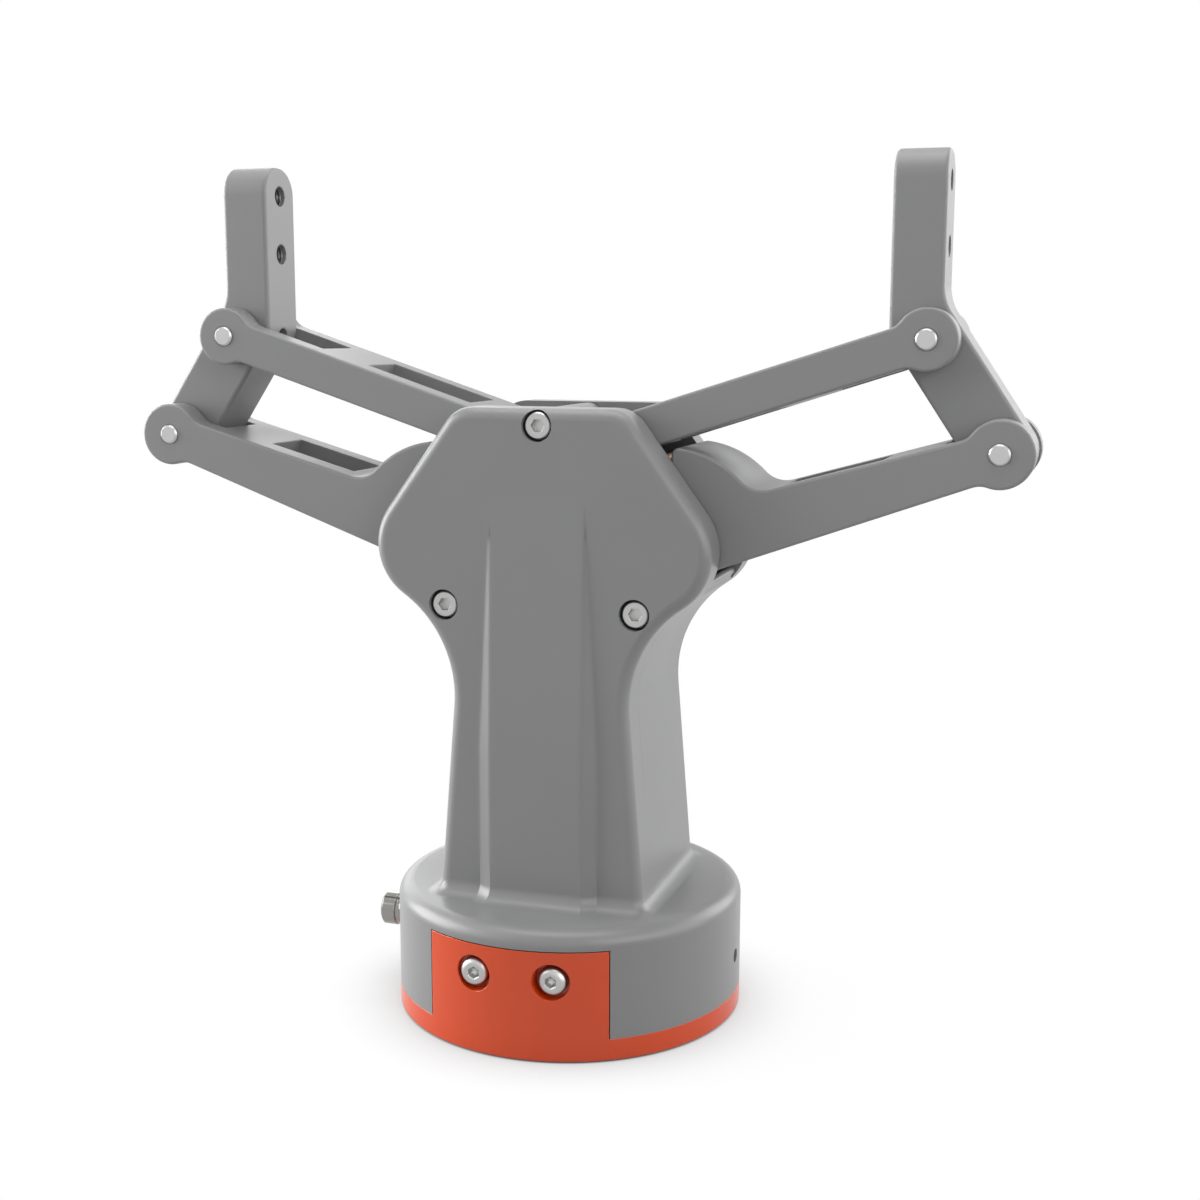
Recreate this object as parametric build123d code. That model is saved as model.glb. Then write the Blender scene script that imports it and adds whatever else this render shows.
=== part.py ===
from build123d import *
import os
from math import acos, asin, atan2, cos, degrees, hypot, radians, sin, sqrt, tan

# Two-finger parallel gripper for a small robot arm, in millimetres.
# The origin is the centre of the flange face, +Z points to the fingers,
# X is the opening direction and the front faces -Y.

# Base and flange adapter
base_radius = 37.5
base_wall = 4.5
base_top = 27.5
base_top_wall = 4.0
shoulder_radius = 3.3
adapter_height = 4.9
adapter_edge = 0.6
panel_top = 23.4
panel_half_angle = 30.85
panel_thickness = 4.3
panel_gap = 0.2
panel_backing = 4.2
collar_height = 4.0
collar_thickness = 2.0
collar_half_angle = 30.0
lug_top = 16.0
lug_half_angle = 9.0
fit_gap = 0.2
flange_bore = 31.5
flange_pcd = 50.0
flange_hole = 6.6
dowel_hole = 6.0
adapter_screw_x = 8.25
adapter_screw_z = 17.15
adapter_head_diameter = 6.0
adapter_head_height = 1.65
adapter_pocket = 7.6
adapter_pocket_depth = 3.3
side_hole_z = 12.8
screw_diameter = 3.0
screw_gap = 0.05
clearance_hole = 3.4

# Connector on the left side
connector_z = 14.5
connector_proud = 7.1
connector_thread = 7.5
connector_collar = 8.6
connector_bore = 5.4
connector_hole = 7.7
connector_inside = 7.0
connector_nut = 9.0
connector_seat = 9.0
connector_seat_depth = 0.4
contact_diameter = 0.9
contact_ring = 2.6

# Column and covers
column_foot = 32.0
foot_half_width = 22.1
foot_fillet = 3.2
flare_angle = 4.7
neck_radius = 25.0
lobe_x = 23.1
lobe_z = 101.7
lobe_radius = 12.75
frame_inset = 0.35
shoulder_angle = 36.2
body_top = 130.2
top_corner_radius = 7.0
body_half_depth = 21.0
bay_half_depth = 12.65
cover_edge_radius = 2.4
cover_wall = 2.8
column_wall = 3.0
cover_cavity_top = 82.4
bulge_depth = 1.8
bulge_half_width = 10.0
bulge_flank = 2.9
bulge_shoulder_z = 60.0
bulge_top_z = 112.0
cover_head_diameter = 5.5
cover_head_height = 3.0
cover_head_recess = 0.67
cover_pocket = 6.4
top_screw_z = 126.7
low_screw_x = 20.52
low_screw_z = 89.55
low_screw_length = 14.0
top_screw_length = 12.0
spacer_diameter = 6.6
tongue_width = 16.0
tongue_depth = 1.8
tongue_outer = 17.6
tongue_gap = 0.15

# Linkage: crank and link turn about the inner pivots and carry the finger
crank_x = 24.8
crank_z = 101.7
link_length = 67.9
rest_angle = 17.9
crank_travel = 73.0
pin_dx = -14.4
pin_dz = 21.4
arm_half_depth = 12.25
slot_half_depth = 6.8
finger_half_depth = 6.5
outer_pin_diameter = 4.2
outer_pin_chamfer = 0.35
outer_pin_proud = 0.45
running_gap = 0.04
press_gap = 0.02
past_end = 12.0
arm_edge = 0.55

# Crank
crank_boss_radius = 6.65
crank_tip_half_width = 4.3
crank_root_half_width = 6.9
crank_hub_radius = 8.6
crank_drum_radius = 20.8
drum_end_angle = 88.0
drum_blend_radius = 6.0
drum_corner_radius = 1.5
hub_corner_radius = 2.0
boss_blend_radius = 4.2
hub_blend_radius = 6.0
crank_slot_reach = 9.9
crank_window_start = 25.5
crank_window_end = 46.0
crank_shaft_diameter = 6.0
crank_bush_wall = 1.0
shaft_seat_depth = 4.0
lug_radius = 14.5
lug_half_depth = 9.0
lug_start_angle = 70.0
lug_end_angle = 155.0

# Upper link
link_boss_radius = 6.05
link_hub_radius = 4.6
link_half_width = 4.05
link_window_start = 11.3
link_window_end = 36.0
link_slot_reach = 20.9
link_pin_diameter = 4.0
link_bush_wall = 0.8

# Finger
finger_top = 180.2
finger_inner_x = 67.1
finger_width = 10.35
finger_arm_inner = 6.5
finger_arm_outer = 6.2
finger_inner_bend = 7.0
finger_outer_bend = 10.0
finger_edge = 0.8
finger_hole_diameter = 4.3
finger_hole_z = 174.1
finger_hole_spacing = 12.4
lock_hole_z = 143.6
lock_screw_length = 3.0
finger_bush_wall = 1.0

# Worm drive
module = 1.0
wheel_teeth = 36
worm_starts = 2
pressure_angle = 20.0
tooth_backlash = 0.24
tooth_clearance = 0.25
wheel_half_width = 4.0
wheel_first_tooth = 100.0
wheel_last_tooth = 180.0
wheel_end_margin = 3.4
wheel_ring_inner = 8.9
wheel_screw_radius = 12.0
wheel_screw_angles = (98.5, 123.0, 147.5)
wheel_screw_diameter = 2.0
worm_bottom = 96.0
worm_top = 106.6
worm_hub_radius = 5.0
worm_hub_bottom = 89.5
shaft_diameter = 5.0
shaft_end_diameter = 4.0
shaft_step_z = 110.0

# Top bearing and its bridge
bearing_outer = 8.0
bearing_width = 3.0
bearing_z = 112.2
bearing_ball = 1.0
bearing_balls = 7
bridge_bottom = 110.6
bridge_top = 116.6
bridge_half_width = 5.2
bridge_seat_depth = 1.0

# Motor and gearbox
gearbox_radius = 14.0
gearbox_height = 22.0
motor_radius = 15.0
motor_height = 28.0
encoder_radius = 13.0
encoder_height = 7.0
plate_bottom = 82.0
plate_top = 86.0
gearbox_pilot = 12.0
gearbox_pilot_height = 3.0
gearbox_screw_ring = 20.0
gearbox_screw_length = 9.0
wheel_sweep_gap = 0.6
hub_gap = 0.8
ridge_angle = 318.0
ridge_round = 0.8

# Controller board
board_radius = 24.0
board_bottom = 18.0
board_thickness = 1.6
board_post_ring = 20.0
board_post_diameter = 5.0

# Derived places
adapter_pocket_floor = base_radius - adapter_pocket_depth
connector_reach = base_radius + connector_proud
link_x = crank_x + pin_dx
link_z = crank_z + pin_dz
reach_x = link_length * cos(radians(rest_angle))
reach_z = link_length * sin(radians(rest_angle))
crank_pin_x = crank_x + reach_x
crank_pin_z = crank_z + reach_z
link_pin_x = link_x + reach_x
link_pin_z = link_z + reach_z
wheel_pitch_radius = module * wheel_teeth / 2
worm_pitch_radius = crank_x - wheel_pitch_radius
wheel_tip_radius = wheel_pitch_radius + module
worm_tip_radius = worm_pitch_radius + module
worm_lead = 3.141592653589793 * module * worm_starts
lead_angle = degrees(atan2(worm_lead, 2 * 3.141592653589793 * worm_pitch_radius))
sweep_radius = wheel_tip_radius + wheel_sweep_gap
tooth_slant = degrees(wheel_half_width * tan(radians(lead_angle)) / wheel_pitch_radius)
sweep_end = wheel_last_tooth + wheel_end_margin + tooth_slant + crank_travel + 0.5


def slab(face, y_low, y_high):
    """Solid from an XZ outline between two Y planes."""
    return Pos(0, y_high, 0) * extrude(Plane.XZ * face, amount=y_high - y_low)


def rod_y(x, z, radius, y_low, y_high):
    """Round rod along Y."""
    return slab(Pos(x, z) * Circle(radius), y_low, y_high)


def rod_x(y, z, radius, x_low, x_high):
    """Round rod along X."""
    return Pos((x_low + x_high) / 2, y, z) * Rot(0, 90, 0) * Cylinder(radius, x_high - x_low)


def rod_z(x, y, radius, z_low, z_high):
    """Round rod along Z."""
    return Pos(x, y, (z_low + z_high) / 2) * Cylinder(radius, z_high - z_low)


def block(x_low, x_high, y_low, y_high, z_low, z_high):
    """Box between two corners."""
    centre = ((x_low + x_high) / 2, (y_low + y_high) / 2, (z_low + z_high) / 2)
    return Pos(*centre) * Box(x_high - x_low, y_high - y_low, z_high - z_low)


def sector(inner, outer, middle_angle, half_angle):
    """Flat ring sector about the origin, angles in degrees."""
    start = middle_angle - half_angle
    ends = [start, middle_angle + half_angle]
    corner = [(r * cos(radians(a)), r * sin(radians(a))) for a in ends for r in (inner, outer)]
    edges = [
        Line(corner[0], corner[1]),
        CenterArc((0, 0), outer, start, 2 * half_angle),
        Line(corner[3], corner[2]),
        CenterArc((0, 0), inner, start, 2 * half_angle),
    ]
    return make_face(edges)


def polar(centre, radius, angle):
    """Point at an angle in degrees about a centre."""
    return (centre[0] + radius * cos(radians(angle)), centre[1] + radius * sin(radians(angle)))


def mirrored(shape):
    """The same piece on the other side of the YZ plane."""
    return mirror(shape, about=Plane.YZ)


def half_turn(shape):
    """The same piece turned half a turn about the Z axis."""
    return Rot(0, 0, 180) * shape


# Column outline in XZ: flared column, round neck, lobes about the crank shafts

flare = tan(radians(flare_angle))


def column_half_width(z):
    """Half width of the flared column at a height."""
    return foot_half_width - flare * (z - column_foot)


def neck_centre(lobe):
    """Centre of the neck arc that touches the flare line and the lobe."""
    offset = neck_radius / cos(radians(flare_angle))
    a = 1 + flare ** 2
    k = foot_half_width + flare * column_foot + offset - lobe_x
    b = -2 * (k * flare + lobe_z)
    c = k ** 2 + lobe_z ** 2 - (lobe + neck_radius) ** 2
    z = (-b - sqrt(b * b - 4 * a * c)) / (2 * a)
    return (column_half_width(z) + offset, z)


def column_outline(bottom, inset):
    """Closed outline of the column and its lobes, drawn in by an inset above the neck."""
    lobe = lobe_radius - inset
    cx, cz = neck_centre(lobe)
    low = (cx - neck_radius * cos(radians(flare_angle)), cz - neck_radius * sin(radians(flare_angle)))
    meet = degrees(atan2(lobe_z - cz, lobe_x - cx))
    start = 180 + flare_angle
    touch = polar((cx, cz), neck_radius, meet)
    high = polar((lobe_x, lobe_z), lobe, 90 - (90 - shoulder_angle) + 0)
    top_x = high[0] - (body_top - high[1]) * tan(radians(shoulder_angle))
    right = [
        Line((0, bottom), (column_half_width(bottom), bottom)),
        Line((column_half_width(bottom), bottom), low),
        CenterArc((cx, cz), neck_radius, meet, start - meet),
        CenterArc((lobe_x, lobe_z), lobe, meet - 180, shoulder_angle - meet + 180),
        Line(high, (top_x, body_top)),
        Line((top_x, body_top), (0, body_top)),
        Line((0, body_top), (0, bottom)),
    ]
    half = make_face(right)
    corner = half.vertices().filter_by(lambda v: abs(v.X - top_x) < 0.01 and v.Y > body_top - 0.01)
    half = fillet(corner, top_corner_radius)
    return half + mirror(half, about=Plane.YZ)


def bulge():
    """Raised pad over the motor, deepest at the foot and fading into the front face."""
    def section(z, depth, flank):
        root = body_half_depth - 1.0
        wide = bulge_half_width + flank
        points = [(-wide, -root), (-wide, -body_half_depth), (-bulge_half_width, -body_half_depth - depth),
                  (bulge_half_width, -body_half_depth - depth), (wide, -body_half_depth), (wide, -root)]
        return Pos(0, 0, z) * make_face(Polyline(*points, close=True))
    low = loft([section(base_top - 2.0, bulge_depth, bulge_flank),
                section(bulge_shoulder_z, bulge_depth, bulge_flank)], ruled=True)
    high = loft([section(bulge_shoulder_z, bulge_depth, bulge_flank),
                 section(bulge_top_z, 0.0, 0.1)], ruled=True)
    return low + high


def outer_form(bottom, inset=0.0):
    """Whole outside of column and covers with rounded front and rear edges."""
    body = slab(column_outline(bottom, inset), -body_half_depth, body_half_depth)
    rims = []
    for face in (body.faces().sort_by(Axis.Y)[0], body.faces().sort_by(Axis.Y)[-1]):
        rims += face.edges().filter_by(lambda e: e.center().Z > bottom + 0.01)
    body = fillet(rims, cover_edge_radius)
    pad = bulge()
    return body + pad + mirror(pad, about=Plane.XZ)


# Root body: adapter, base, frame and covers


def flange_adapter():
    plate = rod_z(0, 0, base_radius, 0, adapter_height)
    plate = chamfer(plate.edges().group_by(Axis.Z)[0], adapter_edge)
    inner = base_radius - panel_thickness
    for middle in (-90, 90):
        panel = Pos(0, 0, adapter_height) * extrude(
            sector(inner, base_radius, middle, panel_half_angle), amount=panel_top - adapter_height)
        plate += panel
    collar_outer = base_radius - base_wall - fit_gap
    for middle in (0, 180):
        plate += Pos(0, 0, adapter_height) * extrude(
            sector(collar_outer - collar_thickness, collar_outer, middle, collar_half_angle), amount=collar_height)
    plate += Pos(0, 0, adapter_height) * extrude(
        sector(collar_outer - collar_thickness, collar_outer, 0, lug_half_angle), amount=lug_top - adapter_height)
    plate -= rod_z(0, 0, flange_bore / 2, -1, adapter_height + 1)
    for turn in (45, 135, 225, 315):
        x, y = polar((0, 0), flange_pcd / 2, turn)
        plate -= rod_z(x, y, flange_hole / 2, -1, adapter_height + 1)
    plate -= rod_z(0, flange_pcd / 2, dowel_hole / 2, -1, adapter_height + 1)
    for side in (-1, 1):
        for x in (-adapter_screw_x, adapter_screw_x):
            low, high = sorted((side * adapter_pocket_floor, side * (base_radius + 1)))
            plate -= rod_y(x, adapter_screw_z, adapter_pocket / 2, low, high)
            low, high = sorted((side * (inner - 4), side * base_radius))
            plate -= rod_y(x, adapter_screw_z, clearance_hole / 2, low, high)
    return plate


def hex_socket(across, depth):
    """Hexagon prism that leaves a driver socket, pointing down from the origin."""
    return Pos(0, 0, -depth) * extrude(RegularPolygon(across / 2, 6, major_radius=False), amount=depth + 1)


def button_screw(length):
    """Button-head screw along Z, head on top of the origin plane."""
    r = adapter_head_diameter / 2
    dome = make_face([
        Line((0, 0), (r, 0)),
        Line((r, 0), (r, 0.4)),
        ThreePointArc((r, 0.4), (r * 0.72, adapter_head_height * 0.78), (r * 0.4, adapter_head_height)),
        Line((r * 0.4, adapter_head_height), (0, adapter_head_height)),
        Line((0, adapter_head_height), (0, 0)),
    ])
    head = revolve(Plane.XZ * dome, Axis.Z)
    shank = Pos(0, 0, -length) * extrude(Circle(screw_diameter / 2 - screw_gap), amount=length)
    return head + shank - Pos(0, 0, adapter_head_height) * hex_socket(2.0, 1.05)


def socket_screw(head, head_height, diameter, length, across):
    """Socket-head screw along Z, head on top of the origin plane."""
    cap = Pos(0, 0, head_height / 2) * Cylinder(head / 2, head_height)
    cap = chamfer(cap.edges().group_by(Axis.Z)[-1], head * 0.05)
    shank = Pos(0, 0, -length / 2) * Cylinder(diameter / 2, length)
    return cap + shank - Pos(0, 0, head_height) * hex_socket(across, head_height * 0.5)


def adapter_screws():
    screw = button_screw(6.5)
    placed = []
    for side in (-1, 1):
        for x in (-adapter_screw_x, adapter_screw_x):
            placed.append(Pos(x, side * adapter_pocket_floor, adapter_screw_z) * Rot(-90 * side, 0, 0) * screw)
    return placed


def base_housing():
    profile = make_face([
        Line((0, adapter_height), (base_radius, adapter_height)),
        Line((base_radius, adapter_height), (base_radius, base_top - shoulder_radius)),
        CenterArc((base_radius - shoulder_radius, base_top - shoulder_radius), shoulder_radius, 0, 90),
        Line((base_radius - shoulder_radius, base_top), (0, base_top)),
        Line((0, base_top), (0, adapter_height)),
    ])
    cup = revolve(Plane.XZ * profile, Axis.Z)
    plinth = outer_form(base_top - 2.0) & block(-base_radius, base_radius, -base_radius, base_radius, base_top - 1.0, column_foot)
    body = cup + plinth
    joint = body.edges().filter_by(lambda e: on_foot(e))
    body = fillet(joint, foot_fillet)
    inner = base_radius - base_wall
    body -= rod_z(0, 0, inner, adapter_height - 1, base_top - base_top_wall)
    seat = base_radius - panel_thickness - panel_gap
    for middle in (-90, 90):
        backing = sector(seat - panel_backing, inner + 1, middle, panel_half_angle + 2)
        body += Pos(0, 0, adapter_height) * extrude(backing, amount=base_top - base_top_wall - adapter_height)
    for middle in (-90, 90):
        notch = sector(seat, base_radius + 1, middle, panel_half_angle + degrees(panel_gap / base_radius))
        body -= Pos(0, 0, adapter_height - 1) * extrude(notch, amount=panel_top + panel_gap - adapter_height + 1)
    body -= rod_z(0, 0, motor_radius + 0.6, adapter_height, column_foot + 1)
    for side in (-1, 1):
        for x in (-adapter_screw_x, adapter_screw_x):
            low, high = sorted((side * (seat - panel_backing - 4), side * base_radius))
            body -= rod_y(x, adapter_screw_z, screw_diameter / 2, low, high)
        low, high = sorted((side * (tongue_outer - tongue_depth - tongue_gap),
                            side * (tongue_outer + tongue_gap)))
        half = tongue_width / 2 + tongue_gap
        body -= block(-half, half, low, high, column_foot - tongue_depth - tongue_gap, column_foot + 1)
    body -= rod_x(0, side_hole_z, screw_diameter / 2, inner - 1, base_radius + 1)
    body -= rod_x(0, connector_z, connector_hole / 2, -base_radius - 1, -inner + 1)
    body -= rod_x(0, connector_z, connector_seat / 2, -base_radius - 1, -base_radius + connector_seat_depth)
    for x, y in frame_screw_places():
        body -= rod_z(x, y, clearance_hole / 2, base_top - base_top_wall - 1, column_foot + 1)
    return body


def on_foot(edge):
    """True for the edges where the column's foot meets the top of the base."""
    centre = edge.center()
    ends = [v.Z for v in edge.vertices()]
    level = all(abs(z - base_top) < 0.01 for z in ends) and abs(centre.Z - base_top) < 0.01
    return level and hypot(centre.X, centre.Y) < base_radius - shoulder_radius - 1


def frame_screw_places():
    """Places of the four screws that hold the frame on the base."""
    x = column_half_width(column_foot) - column_wall
    return [(sx * x, sy * 7.0) for sx in (-1, 1) for sy in (-1, 1)]


def frame_screws():
    screw = socket_screw(5.5, 3.0, screw_diameter - 2 * screw_gap, 14.0, 2.5)
    under = base_top - base_top_wall
    return [Pos(x, y, under) * Rot(180, 0, 0) * screw for x, y in frame_screw_places()]


def side_set_screw():
    reach = base_radius - base_wall - fit_gap
    body = rod_x(0, side_hole_z, screw_diameter / 2 - screw_gap, reach, base_radius - 1.2)
    socket = Pos(base_radius - 1.2, 0, side_hole_z) * Rot(0, 90, 0) * hex_socket(1.5, 1.2)
    return body - socket


def body_frame():
    outline = slab(column_outline(column_foot, frame_inset), -bay_half_depth, bay_half_depth)
    pivot = (crank_x, crank_z)
    neck = column_half_width(70.0) - column_wall
    bay = make_face(Polyline((-column_half_width(column_foot) + column_wall, column_foot - 1),
                             (column_half_width(column_foot) - column_wall, column_foot - 1),
                             (neck, 70), (neck, plate_bottom), (-neck, plate_bottom), (-neck, 70), close=True))
    frame = outline - slab(bay, -bay_half_depth - 1, bay_half_depth + 1)
    frame -= side_chamber(pivot)
    frame -= mirrored(side_chamber(pivot))
    tips = frame.edges().filter_by(Axis.Y).filter_by(
        lambda e: e.center().Z > 95 and abs(e.center().X) > lobe_x + 8)
    frame = fillet(tips, ridge_round)
    foot = block(motor_radius + 0.8, 26, -10, 10, column_foot, column_foot + 11)
    foot = foot & outline
    frame += foot
    frame += mirrored(foot)
    frame -= rod_z(0, 0, gearbox_pilot / 2 + 0.1, plate_bottom - 1, plate_top + 1)
    for turn in (45, 135, 225, 315):
        x, y = polar((0, 0), gearbox_screw_ring / 2, turn)
        frame -= rod_z(x, y, clearance_hole / 2, plate_bottom - 1, plate_top + 1)
    for x in (-low_screw_x, low_screw_x):
        frame -= rod_y(x, low_screw_z, screw_diameter / 2, -bay_half_depth - 1, bay_half_depth + 1)
    for x, y in frame_screw_places():
        frame -= rod_z(x, y, screw_diameter / 2, column_foot - 1, column_foot + 11)
    return frame


def side_chamber(pivot):
    """Space above the mounting plate where the right crank, its wheel and the link move."""
    hub = crank_hub_radius + hub_gap
    lug = lug_radius + hub_gap
    wide = 60
    side = 236
    ridge = polar(pivot, hub, ridge_angle)
    chamber = make_face([
        Polyline((-1, plate_top), (pivot[0] + (plate_top - pivot[1]) / tan(radians(side)) - 1.5, plate_top),
                 polar(pivot, lug, side), polar(pivot, hub, side)),
        CenterArc(pivot, hub, side, ridge_angle - side),
        Polyline(ridge, (wide, ridge[1]), (wide, body_top + 1), (-1, body_top + 1), (-1, plate_top)),
    ])
    sweep = make_face([
        Line(pivot, polar(pivot, sweep_radius, 80)),
        CenterArc(pivot, sweep_radius, 80, sweep_end - 80),
        Line(polar(pivot, sweep_radius, sweep_end), pivot),
    ])
    deep = wheel_half_width + wheel_sweep_gap
    return slab(chamber, -bay_half_depth - 1, bay_half_depth + 1) + slab(sweep, -deep, deep)


def crank_taper():
    """Angle between the crank's centre line and its lower edge."""
    return degrees(asin((crank_root_half_width - crank_tip_half_width) / link_length))


def front_cover():
    shell = outer_form(column_foot) & block(-link_length, link_length, -link_length, -bay_half_depth,
                                            column_foot, body_top + 1)
    inside = column_half_width(70.0) - column_wall
    low = column_half_width(column_foot) - column_wall
    cavity = make_face(Polyline((-low, column_foot + 3), (low, column_foot + 3), (inside, 70),
                                (inside, cover_cavity_top), (-inside, cover_cavity_top), (-inside, 70), close=True))
    shell -= slab(cavity, -body_half_depth + cover_wall, -bay_half_depth + 1)
    shell -= rod_z(0, 0, motor_radius + 0.6, column_foot - 1, cover_cavity_top)
    for x, z in cover_screw_places():
        floor = -body_half_depth + cover_head_recess + cover_head_height
        shell -= rod_y(x, z, cover_pocket / 2, -body_half_depth - 5, floor)
        shell -= rod_y(x, z, clearance_hole / 2, -body_half_depth - 5, -bay_half_depth + 1)
    for x in (-crank_x, crank_x):
        shell -= rod_y(x, crank_z, crank_shaft_diameter / 2 + press_gap, -bay_half_depth - shaft_seat_depth, 0)
    for x in (-link_x, link_x):
        shell -= rod_y(x, link_z, link_pin_diameter / 2 + press_gap, -bay_half_depth - shaft_seat_depth, 0)
    shell -= block(-bridge_half_width - press_gap, bridge_half_width + press_gap,
                   -bay_half_depth - bridge_seat_depth, 0, bridge_bottom - press_gap, bridge_top + press_gap)
    tongue = block(-tongue_width / 2, tongue_width / 2, -tongue_outer, -tongue_outer + tongue_depth,
                   column_foot - tongue_depth, column_foot + 2.5)
    return shell + tongue


def cover_screw_places():
    return [(0, top_screw_z), (-low_screw_x, low_screw_z), (low_screw_x, low_screw_z)]


def front_cover_screws():
    placed = []
    for x, z in cover_screw_places():
        length = top_screw_length if x == 0 else low_screw_length
        length -= cover_head_recess + cover_head_height
        screw = socket_screw(cover_head_diameter, cover_head_height, screw_diameter - 2 * screw_gap, length, 2.5)
        seat = -body_half_depth + cover_head_recess + cover_head_height
        placed.append(Pos(x, seat, z) * Rot(90, 0, 0) * screw)
    return placed


def front_to_rear(shapes):
    """The same pieces on the rear side."""
    return [mirror(s, about=Plane.XZ) for s in shapes]


def top_spacer():
    post = rod_y(0, top_screw_z, spacer_diameter / 2, -bay_half_depth, bay_half_depth)
    return post - rod_y(0, top_screw_z, screw_diameter / 2, -bay_half_depth - 1, bay_half_depth + 1)


def bearing_bridge():
    deep = bay_half_depth + bridge_seat_depth
    bar = block(-bridge_half_width, bridge_half_width, -deep, deep, bridge_bottom, bridge_top)
    bar -= rod_z(0, 0, bearing_outer / 2 + press_gap, bearing_z, bridge_top + 1)
    return bar - rod_z(0, 0, shaft_end_diameter / 2 + 0.8, bridge_bottom - 1, bridge_top + 1)


def ring_z(inner, outer, z_low, z_high):
    """Round ring along Z."""
    return rod_z(0, 0, outer, z_low, z_high) - rod_z(0, 0, inner, z_low - 1, z_high + 1)


def bearing_pitch():
    return (bearing_outer + shaft_end_diameter) / 4


def ball_groove():
    """Groove that the balls run in."""
    ball = Pos(bearing_pitch(), bearing_z + bearing_width / 2) * Circle(bearing_ball / 2 + 0.03)
    return revolve(Plane.XZ * ball, Axis.Z)


def worm_bearing_outer():
    return ring_z(bearing_pitch() + 0.3, bearing_outer / 2, bearing_z, bearing_z + bearing_width) - ball_groove()


def worm_bearing_inner():
    bore = shaft_end_diameter / 2 + press_gap
    return ring_z(bore, bearing_pitch() - 0.3, bearing_z, bearing_z + bearing_width) - ball_groove()


def worm_bearing_balls():
    ball = Sphere(bearing_ball / 2)
    spots = [polar((0, 0), bearing_pitch(), 360 * n / bearing_balls) for n in range(bearing_balls)]
    return [Pos(x, y, bearing_z + bearing_width / 2) * ball for x, y in spots]


def gearbox():
    bottom = plate_bottom - gearbox_height
    can = rod_z(0, 0, gearbox_radius, bottom, plate_bottom)
    for z in (bottom + 5.0, bottom + 15.0):
        can -= ring_z(gearbox_radius - 0.4, gearbox_radius + 1, z, z + 1.0)
    can += rod_z(0, 0, gearbox_pilot / 2, plate_bottom, plate_bottom + gearbox_pilot_height)
    can -= rod_z(0, 0, shaft_diameter / 2 + running_gap, plate_bottom - 6, plate_top)
    for turn in (45, 135, 225, 315):
        x, y = polar((0, 0), gearbox_screw_ring / 2, turn)
        can -= rod_z(x, y, screw_diameter / 2, plate_bottom - 6, plate_bottom + 1)
    return can


def gearbox_screws():
    screw = socket_screw(5.0, 1.8, screw_diameter - 2 * screw_gap, gearbox_screw_length, 2.0)
    spots = [polar((0, 0), gearbox_screw_ring / 2, turn) for turn in (45, 135, 225, 315)]
    return [Pos(x, y, plate_top) * screw for x, y in spots]


def motor():
    top = plate_bottom - gearbox_height
    can = rod_z(0, 0, motor_radius, top - motor_height, top)
    can = chamfer(can.edges().group_by(Axis.Z)[0] + can.edges().group_by(Axis.Z)[-1], 0.6)
    return can


def motor_encoder():
    top = plate_bottom - gearbox_height - motor_height
    cap = rod_z(0, 0, encoder_radius, top - encoder_height, top)
    return fillet(cap.edges().group_by(Axis.Z)[0], 1.0)


def controller_board():
    board = rod_z(0, 0, board_radius, board_bottom, board_bottom + board_thickness)
    for x, y in board_posts():
        board -= rod_z(x, y, 1.1, board_bottom - 1, board_bottom + 3)
    return board


def board_posts():
    return [polar((0, 0), board_post_ring, turn) for turn in (45, 135, 225, 315)]


def board_standoffs():
    under = base_top - base_top_wall
    low = board_bottom + board_thickness
    return [rod_z(x, y, board_post_diameter / 2, low, under) - rod_z(x, y, 1.0, low - 1, under - 0.5)
            for x, y in board_posts()]


def board_screws():
    screw = socket_screw(3.8, 1.4, 1.9, 4.5, 1.5)
    return [Pos(x, y, board_bottom) * Rot(180, 0, 0) * screw for x, y in board_posts()]


def connector_shell():
    inner = base_radius - base_wall
    profile = make_face(Polyline(
        (connector_bore / 2, inner - connector_inside), (connector_thread / 2, inner - connector_inside),
        (connector_thread / 2, base_radius - connector_seat_depth),
        (connector_collar / 2, base_radius - connector_seat_depth),
        (connector_collar / 2, base_radius + 2.2), (connector_thread / 2 - 0.25, base_radius + 2.6),
        (connector_thread / 2 - 0.25, base_radius + 3.4), (connector_thread / 2, base_radius + 3.8),
        (connector_thread / 2, connector_reach - 0.4), (connector_thread / 2 - 0.4, connector_reach),
        (connector_bore / 2, connector_reach), close=True))
    body = revolve(Plane.XY * profile, Axis.Y)
    return Pos(0, 0, connector_z) * Rot(0, 0, 90) * body


def connector_insert():
    inner = base_radius - base_wall - connector_inside
    core = rod_x(0, connector_z, connector_bore / 2 - press_gap, -connector_reach + 4.5, -inner)
    for y, z in contact_places():
        core -= rod_x(y, z, contact_diameter / 2 + press_gap, -connector_reach, -inner + 1)
    return core


def contact_places():
    spots = [polar((0, connector_z), contact_ring / 2, turn) for turn in (45, 135, 225, 315)]
    return spots


def connector_contacts():
    inner = base_radius - base_wall - connector_inside
    return [rod_x(y, z, contact_diameter / 2, -connector_reach + 1.2, -inner + 1.5) for y, z in contact_places()]


def connector_nut_ring():
    inner = base_radius - base_wall
    prism = Rot(0, 90, 0) * extrude(RegularPolygon(connector_nut / 2, 6, major_radius=False), amount=2.0)
    nut = Pos(-inner + 0.7, 0, connector_z) * prism
    return nut - rod_x(0, connector_z, connector_thread / 2 + press_gap, -inner - 1, -inner + 4)


# Worm and shaft


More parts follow.
